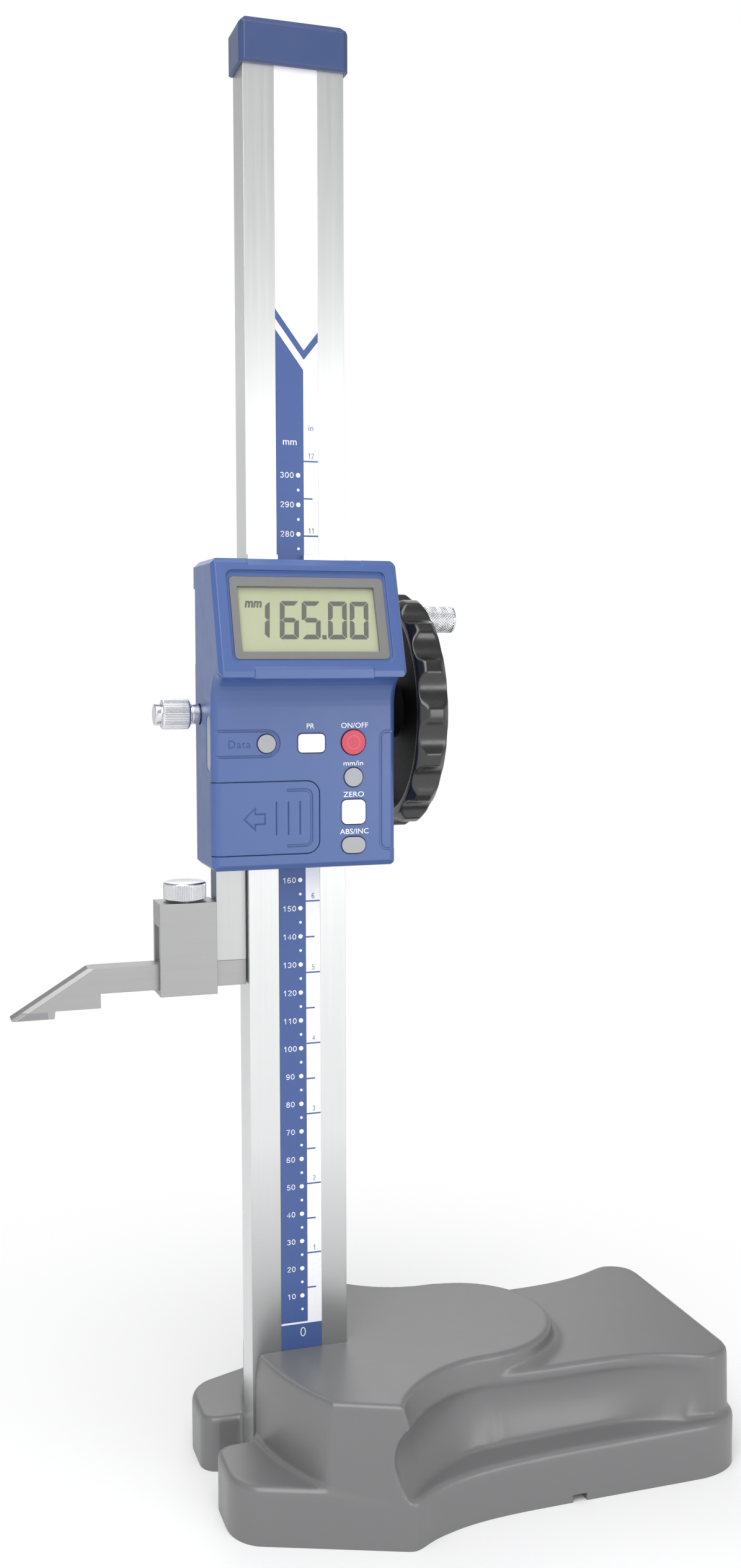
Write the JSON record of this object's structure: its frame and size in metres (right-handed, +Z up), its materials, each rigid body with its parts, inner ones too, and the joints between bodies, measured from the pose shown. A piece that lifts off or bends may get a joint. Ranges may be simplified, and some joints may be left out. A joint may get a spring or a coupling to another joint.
{
  "type": "digital height gauge",
  "caption": "Digital height gauge: cast base, steel column with printed scale and rack, display slider with hand wheel, and a clamped carbide scriber.",
  "frame": {"origin": "on the base's bottom face, on the column's axis", "axes": "+Z up the column, -Y towards the reader of the display, +X towards the hand wheel and the long end of the base"},
  "size_m": [0.2567, 0.1222, 0.5096],
  "materials": {
    "cast_grey": "satin grey paint",
    "ground_steel": "ground satin",
    "hard_steel": "machined",
    "scale_print": "printed satin",
    "housing_blue": "fine matt grain",
    "cap_blue": "satin",
    "black_screw": "blackened",
    "bronze": "machined",
    "grey_plastic": "satin",
    "lcd_window": "clear",
    "lcd_panel": "reflective",
    "board_green": "solder mask",
    "cell_steel": "plated",
    "contact_gold": "plated",
    "silver_plastic": "silver",
    "white_plastic": "satin white",
    "red_plastic": "satin red",
    "wheel_black": "satin black",
    "knob_steel": "knurled",
    "carbide": "ground dark grey"
  },
  "bodies": {
    "stand": {"base": "cast_grey", "beam": "ground_steel", "rack": "hard_steel", "scale_strip": "scale_print", "top_cap": "cap_blue", "cap_screws": "hard_steel", "beam_bolts": "black_screw"},
    "slider": {"slider_frame": "hard_steel", "frame_bushes": "bronze", "gib_strip": "bronze", "measuring_arm": "ground_steel", "arm_screws": "black_screw", "beam_wiper": "ground_steel", "front_cover": "housing_blue", "rear_cover": "housing_blue", "housing_screws": "black_screw", "display_bezel": "grey_plastic", "lcd_window": "lcd_window", "lcd_panel": "lcd_panel", "circuit_board": "board_green", "reader_head": "board_green", "battery": "cell_steel", "battery_contacts": "contact_gold", "data_port_plug": "silver_plastic"},
    "battery_cover": {"battery_cover": "housing_blue"},
    "data_button": {"data_button": "silver_plastic"},
    "pr_button": {"pr_button": "white_plastic"},
    "power_button": {"power_button": "red_plastic"},
    "unit_button": {"unit_button": "silver_plastic"},
    "zero_button": {"zero_button": "white_plastic"},
    "abs_button": {"abs_button": "silver_plastic"},
    "hand_wheel": {"hand_wheel": "wheel_black", "wheel_shaft": "hard_steel", "pinion": "hard_steel", "wheel_nut": "hard_steel", "crank_pin": "hard_steel"},
    "crank_knob": {"crank_knob": "knob_steel"},
    "lock_screw": {"lock_screw": "knob_steel", "lock_tip": "bronze"},
    "scriber_clamp": {"scriber_clamp": "ground_steel"},
    "clamp_screw": {"clamp_screw": "knob_steel"},
    "scriber": {"scriber": "ground_steel", "carbide_tip": "carbide"}
  },
  "joints": [
    {"name": "column_slide", "type": "slide", "parent": "stand", "child": "slider", "axis": [0, 0, 1], "range_m": [-0.1745, 0.16]},
    {"name": "wheel_turn", "type": "hinge", "parent": "slider", "child": "hand_wheel", "pos_m": [0.0438, 0.014, 0.2777], "axis": [1, 0, 0], "range_deg": [-1260, 1155]},
    {"name": "knob_spin", "type": "hinge", "parent": "hand_wheel", "child": "crank_knob", "pos_m": [0.057, 0.01, 0.31086], "axis": [1, 0, 0], "continuous": true},
    {"name": "lock_turn", "type": "hinge", "parent": "slider", "child": "lock_screw", "pos_m": [-0.041, 0, 0.2777], "axis": [1, 0, 0], "range_deg": [-30, 360]},
    {"name": "scriber_slide", "type": "slide", "parent": "slider", "child": "scriber", "axis": [-1, 0, 0], "range_m": [0, 0.02]},
    {"name": "clamp_slide", "type": "slide", "parent": "slider", "child": "scriber_clamp", "axis": [-1, 0, 0], "range_m": [0, 0.012]},
    {"name": "clamp_turn", "type": "hinge", "parent": "scriber_clamp", "child": "clamp_screw", "pos_m": [-0.03865, 0, 0.216], "axis": [0, 0, 1], "range_deg": [0, 720]},
    {"name": "battery_cover_slide", "type": "slide", "parent": "slider", "child": "battery_cover", "axis": [-1, 0, 0], "range_m": [0, 0.012]},
    {"name": "data_button_press", "type": "slide", "parent": "slider", "child": "data_button", "axis": [0, 1, 0], "range_m": [0, 0.0006], "stiffness_N_per_m": 800, "springref_m": -0.0005},
    {"name": "pr_button_press", "type": "slide", "parent": "slider", "child": "pr_button", "axis": [0, 1, 0], "range_m": [0, 0.0006], "stiffness_N_per_m": 800, "springref_m": -0.0005},
    {"name": "power_button_press", "type": "slide", "parent": "slider", "child": "power_button", "axis": [0, 1, 0], "range_m": [0, 0.0006], "stiffness_N_per_m": 800, "springref_m": -0.0005},
    {"name": "unit_button_press", "type": "slide", "parent": "slider", "child": "unit_button", "axis": [0, 1, 0], "range_m": [0, 0.0006], "stiffness_N_per_m": 800, "springref_m": -0.0005},
    {"name": "zero_button_press", "type": "slide", "parent": "slider", "child": "zero_button", "axis": [0, 1, 0], "range_m": [0, 0.0006], "stiffness_N_per_m": 800, "springref_m": -0.0005},
    {"name": "abs_button_press", "type": "slide", "parent": "slider", "child": "abs_button", "axis": [0, 1, 0], "range_m": [0, 0.0006], "stiffness_N_per_m": 800, "springref_m": -0.0005}
  ],
  "couplings": [
    {"joint": "wheel_turn", "follows": "column_slide", "rad_per_m": 125}
  ]
}
